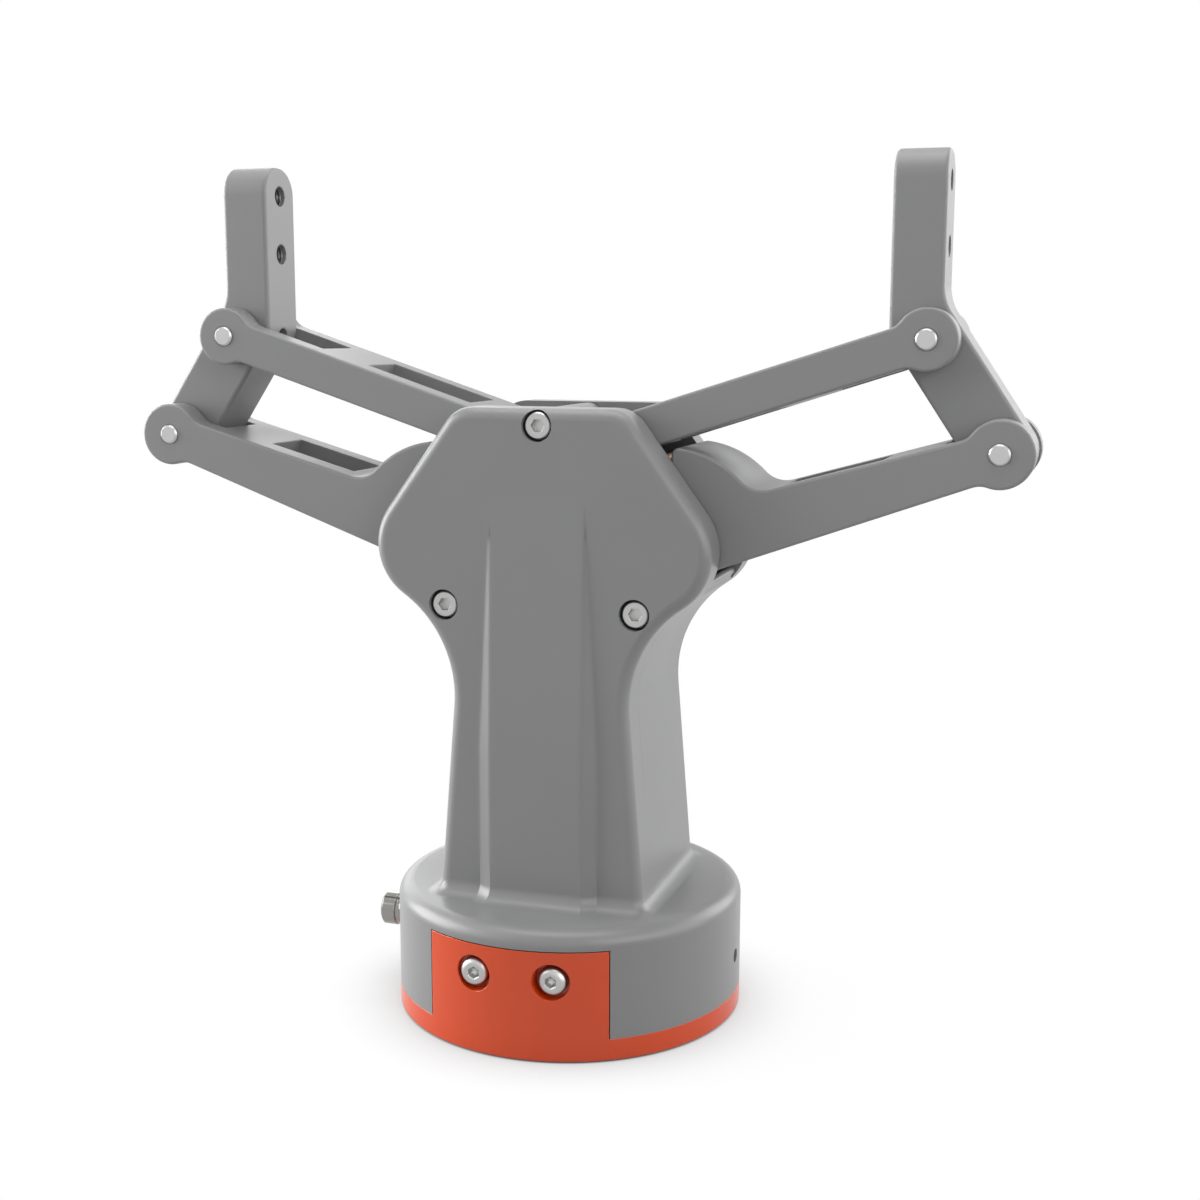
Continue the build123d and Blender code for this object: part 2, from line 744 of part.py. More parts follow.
def worm():
    core = worm_pitch_radius - module * (1 + tooth_clearance)
    turns = worm_top - worm_bottom + 2 * worm_lead
    half_pitch = tan(radians(pressure_angle))
    thick = 3.141592653589793 * module / 4 - tooth_backlash / 2
    root = module * (1 + tooth_clearance) + 0.3
    tip = module
    wide = worm_tip_radius + 2
    path = Pos(0, 0, worm_bottom - worm_lead) * Helix(worm_lead, turns, worm_pitch_radius)
    flank = make_face(Polyline((-root, thick + root * half_pitch), (-root, -thick - root * half_pitch),
                               (tip, -thick + tip * half_pitch), (tip, thick - tip * half_pitch), close=True))
    start = Plane(origin=path @ 0, x_dir=(1, 0, 0), z_dir=path % 0)
    thread = sweep(start * flank, path=path, is_frenet=True)
    groove_shift = worm_lead / (2 * worm_starts)
    phase = 360 * (crank_z + groove_shift - (worm_bottom - worm_lead)) / worm_lead
    ridge = (Rot(0, 0, -phase) * thread) & block(-wide, wide, -wide, wide, worm_bottom, worm_top)
    body = rod_z(0, 0, core, worm_bottom, worm_top)
    for n in range(worm_starts):
        body += Rot(0, 0, 360 * n / worm_starts) * ridge
    body += rod_z(0, 0, worm_hub_radius, worm_hub_bottom, worm_bottom)
    return body - rod_z(0, 0, shaft_diameter / 2 + press_gap, worm_hub_bottom - 1, worm_top + 1)


def worm_shaft():
    shaft = rod_z(0, 0, shaft_diameter / 2, plate_bottom - 5.5, shaft_step_z)
    return shaft + rod_z(0, 0, shaft_end_diameter / 2, shaft_step_z, bearing_z + bearing_width + 0.8)


# Right-hand linkage at rest; the left one is its mirror, but its worm wheel is a half turn


def along(pivot, s, n):
    """Point at a distance along the crank or link and a distance to its upper side."""
    a = radians(rest_angle)
    return (pivot[0] + s * cos(a) - n * sin(a), pivot[1] + s * sin(a) + n * cos(a))


def cut_across(pivot, s_low, s_high):
    """Outline that cuts right across the crank or link between two places along it."""
    wide = past_end
    return make_face(Polyline(along(pivot, s_low, -wide), along(pivot, s_high, -wide),
                              along(pivot, s_high, wide), along(pivot, s_low, wide), close=True))


def blended_arm(root, tip, boss, hub):
    """Arm outline along +X: tapered bar, outer boss with blends, round hub at the origin."""
    bar = make_face(Polyline((0, -root), (link_length, -tip), (link_length, tip), (0, root), close=True))
    arm = bar + Circle(hub) + Pos(link_length, 0) * Circle(boss)
    necks = arm.vertices().filter_by(lambda v: link_length - boss - 1 < v.X < link_length and abs(v.Y) > tip * 0.9)
    arm = fillet(necks, boss_blend_radius)
    roots = arm.vertices().filter_by(lambda v: 0 < v.X < hub + 1)
    return fillet(roots, hub_blend_radius)


def placed_arm(shape, pivot):
    """Turns an outline drawn along +X to the rest angle at its pivot."""
    return Pos(*pivot) * Rot(0, 0, rest_angle) * shape


def soften(solid, depth):
    """Rounds the rims of the two outer side faces."""
    rims = []
    for face in solid.faces().filter_by(Axis.Y):
        if abs(abs(face.center().Y) - depth) < 0.01:
            rims += face.outer_wire().edges()
    return fillet(rims, arm_edge)


def drum_blend():
    """Hollow corner between the drum and the upper edge of the arm."""
    tilt = -crank_taper()
    edge = crank_root_half_width * cos(radians(tilt))
    rise = edge + drum_blend_radius
    run = sqrt((crank_drum_radius + drum_blend_radius) ** 2 - rise ** 2)
    turn = degrees(atan2(rise, run)) + tilt
    centre = polar((0, 0), hypot(run, rise), turn)
    on_drum = polar((0, 0), crank_drum_radius, turn)
    on_arm = polar(centre, drum_blend_radius, 270 + tilt)
    return make_face([
        Polyline(on_arm, (on_drum[0] * 0.8, edge * 0.5), on_drum),
        CenterArc(centre, drum_blend_radius, 180 + turn, 90 + tilt - turn),
    ])


def crank():
    pivot = (crank_x, crank_z)
    arm = blended_arm(crank_root_half_width, crank_tip_half_width, crank_boss_radius, crank_hub_radius)
    start = degrees(asin(crank_root_half_width / crank_drum_radius)) - 1
    end = drum_end_angle - rest_angle
    drum = sector(0.5, crank_drum_radius, (start + end) / 2, (end - start) / 2)
    arm += drum + drum_blend()
    for radius, corner_radius in ((crank_drum_radius, drum_corner_radius), (crank_hub_radius, hub_corner_radius)):
        spot = polar((0, 0), radius, end)
        corner = arm.vertices().filter_by(lambda v: hypot(v.X - spot[0], v.Y - spot[1]) < 0.05)
        arm = fillet(corner, corner_radius)
    body = slab(placed_arm(arm, pivot), -arm_half_depth, arm_half_depth)
    body = soften(body, arm_half_depth)
    lug_middle = (lug_start_angle + lug_end_angle) / 2
    lug = Pos(*pivot) * sector(1.0, lug_radius, lug_middle, (lug_end_angle - lug_start_angle) / 2)
    body += slab(lug, -lug_half_depth, lug_half_depth)
    slot = cut_across(pivot, link_length - crank_slot_reach, link_length + past_end)
    window = cut_across(pivot, crank_window_start, crank_window_end)
    body -= slab(slot, -slot_half_depth, slot_half_depth)
    body -= slab(window, -slot_half_depth, slot_half_depth)
    seat = make_face([
        Line(polar(pivot, wheel_ring_inner - 0.1, drum_end_angle + 0.1), polar(pivot, 30, drum_end_angle + 0.1)),
        CenterArc(pivot, 30, drum_end_angle + 0.1, 170),
        Line(polar(pivot, 30, drum_end_angle + 170.1), polar(pivot, wheel_ring_inner - 0.1, drum_end_angle + 170.1)),
        CenterArc(pivot, wheel_ring_inner - 0.1, drum_end_angle + 0.1, 170),
    ])
    body -= slab(seat, -wheel_half_width, wheel_half_width)
    bush = crank_shaft_diameter / 2 + crank_bush_wall
    body -= rod_y(crank_x, crank_z, bush + press_gap, -arm_half_depth - 1, arm_half_depth + 1)
    body -= rod_y(crank_pin_x, crank_pin_z, outer_pin_diameter / 2 + press_gap, -arm_half_depth - 1, arm_half_depth + 1)
    for x, z in wheel_screw_places():
        body -= rod_y(x, z, wheel_screw_diameter / 2 + screw_gap, -lug_half_depth - 1, lug_half_depth + 1)
    return body


def wheel_screw_places():
    return [polar((crank_x, crank_z), wheel_screw_radius, a) for a in wheel_screw_angles]


def wheel_screws():
    placed = []
    for x, z in wheel_screw_places():
        screw = rod_y(x, z, wheel_screw_diameter / 2, -lug_half_depth, lug_half_depth)
        placed.append(screw + rod_y(x, z, 1.8, -lug_half_depth - 1.4, -lug_half_depth))
    return placed


def tooth_half_angle(radius):
    """Half angle in degrees of an involute tooth at a radius, thinned by the backlash."""
    base = wheel_pitch_radius * cos(radians(pressure_angle))
    involute_pitch = tan(radians(pressure_angle)) - radians(pressure_angle)
    half = (3.141592653589793 * module / 4 - tooth_backlash / 4) / wheel_pitch_radius
    if radius <= base:
        return degrees(half + involute_pitch)
    flank = acos(base / radius)
    return degrees(half + involute_pitch - (tan(flank) - flank))


def wheel_tooth():
    """One slanted tooth at angle 0 about the origin, drawn in XZ."""
    inner = wheel_pitch_radius - module * (1 + tooth_clearance) - 0.3
    radii = [inner, wheel_pitch_radius - 0.6 * module, wheel_pitch_radius, wheel_pitch_radius + 0.5 * module,
             wheel_tip_radius]
    upper = [polar((0, 0), r, tooth_half_angle(r)) for r in radii]
    lower = [polar((0, 0), r, -tooth_half_angle(r)) for r in reversed(radii)]
    face = make_face(Polyline(*upper, *lower, close=True))
    rear = Pos(0, 0, -wheel_half_width) * Rot(0, 0, -tooth_slant) * face
    front = Pos(0, 0, wheel_half_width) * Rot(0, 0, tooth_slant) * face
    return Rot(90, 0, 0) * loft([rear, front], ruled=True)


def worm_wheel():
    """Bronze sector of the wheel: rim with slanted teeth, clamped between the crank's cheeks."""
    root = wheel_pitch_radius - module * (1 + tooth_clearance)
    first = wheel_first_tooth - 5.0
    last = wheel_last_tooth + wheel_end_margin
    rim = sector(wheel_ring_inner, root, (first + last) / 2, (last - first) / 2)
    step = 360 / wheel_teeth
    count = round((wheel_last_tooth - wheel_first_tooth) / step) + 1
    pivot = Pos(crank_x, 0, crank_z)
    wheel = pivot * slab(rim, -wheel_half_width, wheel_half_width)
    tooth = wheel_tooth()
    for n in range(count):
        angle = wheel_first_tooth + n * step
        wheel += pivot * Rot(0, -angle, 0) * tooth
    for x, z in wheel_screw_places():
        wheel -= rod_y(x, z, wheel_screw_diameter / 2 + screw_gap, -wheel_half_width - 1, wheel_half_width + 1)
    return wheel


def bush_y(x, z, inner, outer, y_low, y_high):
    """Plain bush along Y."""
    return rod_y(x, z, outer, y_low, y_high) - rod_y(x, z, inner, y_low - 1, y_high + 1)


def crank_bushes():
    inner = crank_shaft_diameter / 2 + running_gap
    outer = crank_shaft_diameter / 2 + crank_bush_wall
    return [bush_y(crank_x, crank_z, inner, outer, -arm_half_depth, -3.0),
            bush_y(crank_x, crank_z, inner, outer, 3.0, arm_half_depth)]


def crank_shaft():
    reach = bay_half_depth + shaft_seat_depth - 0.1
    shaft = rod_y(crank_x, crank_z, crank_shaft_diameter / 2, -reach, reach)
    return chamfer(shaft.edges().group_by(Axis.Y)[0] + shaft.edges().group_by(Axis.Y)[-1], 0.3)


def outer_pin(x, z):
    reach = arm_half_depth + outer_pin_proud
    pin = rod_y(x, z, outer_pin_diameter / 2, -reach, reach)
    return chamfer(pin.edges().group_by(Axis.Y)[0] + pin.edges().group_by(Axis.Y)[-1], outer_pin_chamfer)


def upper_link():
    pivot = (link_x, link_z)
    outline = blended_arm(link_half_width, link_half_width, link_boss_radius, link_hub_radius)
    body = slab(placed_arm(outline, pivot), -arm_half_depth, arm_half_depth)
    body = soften(body, arm_half_depth)
    slot_start = link_length - link_slot_reach
    for s_low, s_high in ((link_window_start, link_window_end), (slot_start, link_length + past_end)):
        body -= slab(cut_across(pivot, s_low, s_high), -slot_half_depth, slot_half_depth)
    bush = link_pin_diameter / 2 + link_bush_wall
    body -= rod_y(link_x, link_z, bush + press_gap, -arm_half_depth - 1, arm_half_depth + 1)
    ear = outer_pin_diameter / 2 + running_gap
    body -= rod_y(link_pin_x, link_pin_z, ear, -arm_half_depth - 1, arm_half_depth + 1)
    return body


def link_bushes():
    inner = link_pin_diameter / 2 + running_gap
    outer = link_pin_diameter / 2 + link_bush_wall
    return [bush_y(link_x, link_z, inner, outer, -arm_half_depth, -4.0),
            bush_y(link_x, link_z, inner, outer, 4.0, arm_half_depth)]


def link_pivot_pin():
    reach = bay_half_depth + shaft_seat_depth - 0.1
    pin = rod_y(link_x, link_z, link_pin_diameter / 2, -reach, reach)
    return chamfer(pin.edges().group_by(Axis.Y)[0] + pin.edges().group_by(Axis.Y)[-1], 0.3)


def finger():
    lean = atan2(-pin_dx, pin_dz)
    outer_x = finger_inner_x + finger_width
    middle = (finger_arm_outer - finger_arm_inner) / 2

    def on_edge(side, x):
        """Point of the slanted arm's edge at a given x, side -1 inner and +1 outer."""
        half = finger_arm_outer if side > 0 else finger_arm_inner
        px = link_pin_x + side * half * cos(lean)
        pz = link_pin_z + side * half * sin(lean)
        return (x, pz - (x - px) / tan(lean))

    inner_bend = on_edge(-1, finger_inner_x)
    outer_bend = on_edge(1, outer_x)
    low_inner = polar((crank_pin_x, crank_pin_z), -finger_arm_inner, degrees(lean))
    low_outer = polar((crank_pin_x, crank_pin_z), finger_arm_outer, degrees(lean))
    outline = make_face(Polyline((finger_inner_x, finger_top), inner_bend, low_inner, low_outer, outer_bend,
                                 (outer_x, finger_top), close=True))
    end = polar((crank_pin_x, crank_pin_z), middle, degrees(lean))
    outline += Pos(*end) * Circle((finger_arm_inner + finger_arm_outer) / 2)
    for bend, radius in ((inner_bend, finger_inner_bend), (outer_bend, finger_outer_bend)):
        corner = outline.vertices().filter_by(lambda v: hypot(v.X - bend[0], v.Y - bend[1]) < 0.01)
        outline = fillet(corner, radius)
    body = slab(outline, -finger_half_depth, finger_half_depth)
    top = body.edges().filter_by(Axis.X).group_by(Axis.Z)[-1]
    body = fillet(top, finger_half_depth - 0.6)
    rims = []
    for face in body.faces().filter_by(Axis.Y):
        if abs(abs(face.center().Y) - finger_half_depth) < 0.01:
            rims += face.outer_wire().edges().filter_by(lambda e: e.center().Z < finger_top - finger_half_depth)
    body = fillet(rims, finger_edge)
    past = finger_half_depth + 1
    for z in (finger_hole_z, finger_hole_z - finger_hole_spacing):
        body -= rod_x(0, z, finger_hole_diameter / 2, finger_inner_x - 1, outer_x + 2)
    body -= rod_x(0, lock_hole_z, finger_hole_diameter / 2, finger_inner_x - 1, link_pin_x - 1)
    body -= rod_y(link_pin_x, link_pin_z, outer_pin_diameter / 2 + press_gap, -past, past)
    body -= rod_y(crank_pin_x, crank_pin_z, outer_pin_diameter / 2 + finger_bush_wall + press_gap, -past, past)
    return body


def finger_bush():
    inner = outer_pin_diameter / 2 + running_gap
    outer = outer_pin_diameter / 2 + finger_bush_wall
    return bush_y(crank_pin_x, crank_pin_z, inner, outer, -finger_half_depth, finger_half_depth)


def pin_lock_screw():
    face = link_pin_x - outer_pin_diameter / 2 - press_gap
    low = face - lock_screw_length
    body = rod_x(0, lock_hole_z, finger_hole_diameter / 2 - screw_gap, low, face)
    body -= rod_y(link_pin_x, link_pin_z, outer_pin_diameter / 2 + press_gap, -finger_half_depth, finger_half_depth)
    return body - Pos(low, 0, lock_hole_z) * Rot(0, -90, 0) * hex_socket(2.0, 1.5)


def build():
    """All nodes by name; a list is a group of separate solids."""
    cover = front_cover()
    cover_screws = front_cover_screws()
    nodes = {
        "flange_adapter": flange_adapter(),
        "adapter_screws": adapter_screws(),
        "base_housing": base_housing(),
        "side_set_screw": side_set_screw(),
        "connector_shell": connector_shell(),
        "connector_insert": connector_insert(),
        "connector_contacts": connector_contacts(),
        "connector_nut": connector_nut_ring(),
        "controller_board": controller_board(),
        "board_standoffs": board_standoffs(),
        "board_screws": board_screws(),
        "body_frame": body_frame(),
        "frame_screws": frame_screws(),
        "front_cover": cover,
        "rear_cover": mirror(cover, about=Plane.XZ),
        "front_cover_screws": cover_screws,
        "rear_cover_screws": front_to_rear(cover_screws),
        "top_spacer": top_spacer(),
        "bearing_bridge": bearing_bridge(),
        "worm_bearing_outer": worm_bearing_outer(),
        "worm_bearing_balls": worm_bearing_balls(),
        "worm_bearing_inner": worm_bearing_inner(),
        "gearbox": gearbox(),
        "gearbox_screws": gearbox_screws(),
        "motor": motor(),
        "motor_encoder": motor_encoder(),
        "worm": worm(),
        "worm_shaft": worm_shaft(),
    }
    wheel = worm_wheel()
    nodes["right_worm_wheel"] = wheel
    nodes["left_worm_wheel"] = half_turn(wheel)
    pairs = {
        "crank": crank(),
        "wheel_screws": wheel_screws(),
        "crank_bushes": crank_bushes(),
        "crank_shaft": crank_shaft(),
        "crank_pin": outer_pin(crank_pin_x, crank_pin_z),
        "upper_link": upper_link(),
        "link_bushes": link_bushes(),
        "link_pivot_pin": link_pivot_pin(),
        "finger": finger(),
        "finger_bush": finger_bush(),
        "finger_pin": outer_pin(link_pin_x, link_pin_z),
        "pin_lock_screw": pin_lock_screw(),
    }
    for name, shape in pairs.items():
        nodes["right_" + name] = shape
        if isinstance(shape, list):
            nodes["left_" + name] = [mirrored(s) for s in shape]
        else:
            nodes["left_" + name] = mirrored(shape)
    return nodes


os.makedirs("parts", exist_ok=True)
for name, shape in build().items():
    if isinstance(shape, list):
        shape = Compound(children=shape)
    export_step(shape, "parts/" + name + ".step")
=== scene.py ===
import bpy
import math
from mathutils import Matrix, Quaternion, Vector


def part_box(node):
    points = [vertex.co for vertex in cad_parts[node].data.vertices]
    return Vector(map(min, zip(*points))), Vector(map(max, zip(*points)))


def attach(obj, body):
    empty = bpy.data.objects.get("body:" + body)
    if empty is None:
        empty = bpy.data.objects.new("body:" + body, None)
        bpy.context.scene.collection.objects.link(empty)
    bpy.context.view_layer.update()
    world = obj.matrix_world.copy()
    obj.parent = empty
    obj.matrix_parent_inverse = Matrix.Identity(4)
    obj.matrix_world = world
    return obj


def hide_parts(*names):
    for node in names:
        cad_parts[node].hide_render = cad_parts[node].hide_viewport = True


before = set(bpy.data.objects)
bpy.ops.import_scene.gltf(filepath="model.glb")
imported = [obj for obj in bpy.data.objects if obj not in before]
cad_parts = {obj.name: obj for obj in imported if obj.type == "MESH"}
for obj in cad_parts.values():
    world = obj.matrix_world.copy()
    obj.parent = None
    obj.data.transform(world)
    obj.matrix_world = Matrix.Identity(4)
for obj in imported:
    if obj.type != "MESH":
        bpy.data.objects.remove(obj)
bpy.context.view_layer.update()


# Base housing: the round cup that carries everything
# Turned and milled from aluminium, bead-blasted to a fine even grain and anodised grey.
# It screws down on the orange flange adapter, and the column's feet stand on its shoulder.

class Wire:
    """One shader socket. Sums on it add Math nodes, and node() adds a node of any other kind."""

    def __init__(self, tree, socket=None):
        self.tree, self.socket = tree, socket

    def node(self, kind, settings=None, sockets=None, output=0):
        made = self.tree.nodes.new(kind)
        for name, value in (settings or {}).items():
            setattr(made, name, value)
        for name, value in (sockets or {}).items():
            if isinstance(value, Wire):
                self.tree.links.new(value.socket, made.inputs[name])
            else:
                made.inputs[name].default_value = value
        return Wire(self.tree, made.outputs[output])

    def sum(self, operation, first, second):
        return self.node("ShaderNodeMath", {"operation": operation}, {0: first, 1: second})

    def __add__(self, other):
        return self.sum("ADD", self, other)

    def __radd__(self, other):
        return self.sum("ADD", other, self)

    def __sub__(self, other):
        return self.sum("SUBTRACT", self, other)

    def __rsub__(self, other):
        return self.sum("SUBTRACT", other, self)

    def __mul__(self, other):
        return self.sum("MULTIPLY", self, other)

    def __rmul__(self, other):
        return self.sum("MULTIPLY", other, self)

    def __abs__(self):
        return self.sum("ABSOLUTE", self, 0.0)

    def held(self):
        """The same value, kept between 0 and 1."""
        return self.node("ShaderNodeClamp", None, {0: self})

    def rise(self, start, end):
        """0 below start, 1 above end and a smooth slope between them."""
        return self.node("ShaderNodeMapRange", {"interpolation_type": "SMOOTHSTEP"},
                         {0: self, 1: start, 2: end})

    def tint(self, first, second):
        """Colour that goes from first to second as this value goes from 0 to 1."""
        return self.node("ShaderNodeMix", {"data_type": "RGBA"}, {0: self, 6: first, 7: second}, 2)

    def noise(self, scale, detail=2.0):
        """Cloudy values round 0.5, with this wire as the place."""
        return self.node("ShaderNodeTexNoise", None, {"Vector": self, "Scale": scale, "Detail": detail})


def start_finish(name, metallic=0.0, coat=0.0):
    """A new material with its shader, and a wire that holds the place on the piece."""
    material = bpy.data.materials.new(name)
    material.use_nodes = True
    tree = material.node_tree
    tree.nodes.clear()
    shader = tree.nodes.new("ShaderNodeBsdfPrincipled")
    shader.inputs["Metallic"].default_value = metallic
    shader.inputs["Coat Weight"].default_value = coat
    tree.links.new(shader.outputs[0], tree.nodes.new("ShaderNodeOutputMaterial").inputs[0])
    return material, shader, Wire(tree).node("ShaderNodeTexCoord", output="Object")


def close_finish(shader, colour, gloss, height, relief, rounded):
    """Joins colour, roughness and relief to the shader; rounded is the normal of the softened edges."""
    tree = colour.tree
    tree.links.new(colour.socket, shader.inputs["Base Color"])
    tree.links.new(gloss.held().socket, shader.inputs["Roughness"])
    bump = colour.node("ShaderNodeBump", None, {"Strength": 1.0, "Distance": relief, "Height": height,
                                                "Normal": rounded}, "Normal")
    tree.links.new(bump.socket, shader.inputs["Normal"])


def soft_edges(place, radius):
    """Normal with the edges rounded off, and how much of an edge each point is."""
    rounded = place.node("ShaderNodeBevel", {"samples": 6}, {"Radius": radius})
    flat = place.node("ShaderNodeNewGeometry", output="Normal")
    turn = place.node("ShaderNodeVectorMath", {"operation": "DOT_PRODUCT"}, {0: rounded, 1: flat}, "Value")
    return rounded, (1 - turn).rise(0.02, 0.3)


def shade(colour, factor):
    return tuple(min(1.0, c * factor) for c in colour[:3]) + (1.0,)


bulge_side, bulge_foot, bulge_top = 0.0136, 0.034, 0.113


def on_bulge(place):
    """1 over the long bulge of the column's shells, 0 elsewhere."""
    across = place.node("ShaderNodeSeparateXYZ", None, {0: place}, "X")
    height = place.node("ShaderNodeSeparateXYZ", None, {0: place}, "Z")
    within = 1 - abs(across).rise(bulge_side, bulge_side + 0.0006)
    between = height.rise(bulge_foot, bulge_foot + 0.003) * (1 - height.rise(bulge_top, bulge_top + 0.003))
    return within * between


def blasted(name, colour, roughness, edge_radius, worn_tint=1.25, bulge_radius=None, painted_shade_reach=None):
    """Bead-blasted and anodised aluminium: pitted grain, cloudy gloss, edges rubbed a little paler.

    bulge_radius rounds the edges of the shells' bulge, and the gap reach given last paints shade into the
    colour of gaps narrower than it, where shade falls between parts.
    """
    material, shader, place = start_finish(name)
    pits = place.noise(5200.0, 2.0)
    clouds = place.noise(42.0, 4.0)
    specks = place.noise(900.0, 1.0)
    rounded, edge = soft_edges(place, edge_radius)
    if bulge_radius:
        broad = place.node("ShaderNodeBevel", {"samples": 8}, {"Radius": bulge_radius})
        rounded = place.node("ShaderNodeMix", {"data_type": "VECTOR"},
                             {0: on_bulge(place), 4: rounded, 5: broad}, 1)
    worn = (edge * (clouds * 1.6 + specks * 0.6 - 0.55)).held()
    plain = (clouds * 0.7 + pits * 0.3).held().tint(shade(colour, 0.955), shade(colour, 1.045))
    both = worn.tint(plain, shade(colour, worn_tint))
    # Painted shade: ambient occlusion darkens the colour in gaps and crevices narrower than the reach, where
    # shade falls.
    if painted_shade_reach:
        open_to_air = place.node("ShaderNodeAmbientOcclusion", {"samples": 8}, {"Distance": painted_shade_reach}, "AO")
        both = open_to_air.rise(0.3, 0.85).tint(shade(colour, 0.12), both)
    gloss = roughness + (clouds - 0.5) * 0.12 + (pits - 0.5) * 0.08 - worn * 0.08
    close_finish(shader, both, gloss, pits, 0.000007, rounded)
    return material


def dress(material, *nodes):
    """Gives a material to CAD nodes by name."""
    for name in nodes:
        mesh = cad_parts[name].data
        mesh.materials.clear()
        mesh.materials.append(material)


# The shell's colour carries painted shade in its narrow gaps.
grey_shell = blasted("grey_anodised_shell", (0.235, 0.236, 0.238), 0.35, 0.00004, bulge_radius=0.0014,
                     painted_shade_reach=0.0006)
dress(grey_shell, "base_housing")

# Flange adapter: the orange plate and curved panel at the foot
# One aluminium piece, blasted and anodised orange; its disc bolts to the arm's tool flange.
# The panel stands in a recess of the cup, and four screws in deep pockets hold it.

# The orange skin's colour carries painted shade in its narrow gaps and crevices.
orange_skin = blasted("orange_anodised_skin", (0.68, 0.062, 0.0045), 0.2, 0.0003, 1.1,
                      painted_shade_reach=0.00035)
dress(orange_skin, "flange_adapter")

# Adapter screws and the set screw at the side
# Stainless socket screws with turned heads, a little clouded by the pickling bath.


def plated(name, colour, roughness, relief=0.000003):
    """Bright metal with a fine drawn grain and a cloudy gloss."""
    material, shader, place = start_finish(name, metallic=1.0)
    grain = place.noise(7000.0, 2.0)
    clouds = place.noise(160.0, 3.0)
    rounded, edge = soft_edges(place, 0.00018)
    tone = (clouds * 0.6 + grain * 0.4).held().tint(shade(colour, 0.93), shade(colour, 1.06))
    both = (edge * clouds * 0.8).held().tint(tone, shade(colour, 1.12))
    gloss = roughness + (clouds - 0.5) * 0.16 + (grain - 0.5) * 0.1 - edge * 0.05
    close_finish(shader, both, gloss, grain, relief, rounded)
    return material


stainless = plated("stainless_screws", (0.43, 0.43, 0.425), 0.34)
dress(stainless, "side_set_screw")

dome_radius, dome_height, dome_face, dome_chamfer = 0.00305, 0.0024, 0.0017, 0.0001
dome_x, dome_foot_y, dome_z = 0.00825, 0.0342, 0.01715
shank_radius, shank_length, shank_tip = 0.00145, 0.0065, 0.0003
hexagon_half, hexagon_depth, drill_point = 0.0011, 0.0013, 0.0003
ring_points = 48


def skin(name, rings):
    """Mesh through rings of equally many points; the first and last ring close on their middles."""
    count = len(rings[0])
    points = [point for ring in rings for point in ring]
    faces = []
    for row in range(len(rings) - 1):
        for k in range(count):
            n = (k + 1) % count
            low, high = row * count, (row + 1) * count
            faces.append((low + k, low + n, high + n, high + k))
    for first, at_top in ((0, False), ((len(rings) - 1) * count, True)):
        points.append(tuple(sum(points[first + k][axis] for k in range(count)) / count for axis in range(3)))
        for k in range(count):
            pair = (first + k, first + (k + 1) % count)
            faces.append((pair if at_top else pair[::-1]) + (len(points) - 1,))
    mesh = bpy.data.meshes.new(name)
    mesh.from_pydata(points, [], faces)
    mesh.shade_smooth()
    return mesh


def circle(radius, height, count=ring_points):
    return [(radius * math.cos(math.tau * k / count), radius * math.sin(math.tau * k / count), height)
            for k in range(count)]


def hexagon(half, height):
    """Hexagon with as many points as a circle, so that the two can be joined."""
    ring = []
    for k in range(ring_points):
        turn = math.tau * k / ring_points
        reach = half / math.cos((turn + math.pi / 6) % (math.pi / 3) - math.pi / 6)
        ring.append((reach * math.cos(turn), reach * math.sin(turn), height))
    return ring


def dome_screw(name):
    """Button-head screw with its head above z = 0 and a hexagon socket in the top."""
    socket_foot = dome_height - hexagon_depth
    rings = [circle(shank_radius * 0.8, -shank_length), circle(shank_radius, -shank_length + shank_tip),
             circle(shank_radius, 0.0), circle(dome_radius - dome_chamfer, 0.0),
             circle(dome_radius, dome_chamfer)]
    brim = dome_height * 0.42
    for step in range(9):
        turn = step / 8 * math.pi / 2
        rings.append(circle(dome_face + (dome_radius - dome_face) * math.cos(turn),
                            brim + (dome_height - brim) * math.sin(turn)))
    rings += [hexagon(hexagon_half * 1.12, dome_height), hexagon(hexagon_half, dome_height - 0.00012),
              hexagon(hexagon_half, socket_foot), circle(drill_point, socket_foot - drill_point)]
    return skin(name, rings)


class Net:
    """A Geometry Nodes tree with named inputs, written from left to right."""

    def __init__(self, name, inputs):
        self.tree = bpy.data.node_groups.new(name, "GeometryNodeTree")
        self.tree.interface.new_socket("Geometry", in_out="INPUT", socket_type="NodeSocketGeometry")
        for label, kind in inputs.items():
            self.tree.interface.new_socket(label, in_out="INPUT", socket_type="NodeSocket" + kind)
        self.tree.interface.new_socket("Geometry", in_out="OUTPUT", socket_type="NodeSocketGeometry")
        self.given = self.tree.nodes.new("NodeGroupInput").outputs

    def node(self, kind, sockets=None, output=0, **settings):
        made = self.tree.nodes.new(kind)
        for name, value in settings.items():
            setattr(made, name, value)
        for name, value in (sockets or {}).items():
            if isinstance(value, bpy.types.NodeSocket):
                self.tree.links.new(value, made.inputs[name])
            else:
                made.inputs[name].default_value = value
        return made.outputs[output]

    def close(self, shape):
        """Ends the tree: copies made real, finish set."""
        real = self.node("GeometryNodeRealizeInstances", {0: shape})
        done = self.node("GeometryNodeSetMaterial", {"Geometry": real, "Material": self.given["Finish"]})
        self.tree.links.new(done, self.tree.nodes.new("NodeGroupOutput").inputs[0])
        return self.tree


def made_by(tree, name, base, body, slot, **values):
    """Runs a tree on a base mesh and keeps the result as a plain piece that rides on a body."""
    source = bpy.data.objects.new(name + "_points", base)
    bpy.context.scene.collection.objects.link(source)
    modifier = source.modifiers.new("repeat", "NODES")
    modifier.node_group = tree
    for item in tree.interface.items_tree:
        if item.in_out == "INPUT" and item.name in values:
            modifier[item.identifier] = values[item.name]
    shape = bpy.data.meshes.new_from_object(source.evaluated_get(bpy.context.evaluated_depsgraph_get()))
    bpy.data.objects.remove(source)
    piece = bpy.data.objects.new(name, shape)
    bpy.context.scene.collection.objects.link(piece)
    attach(piece, body)
    return piece


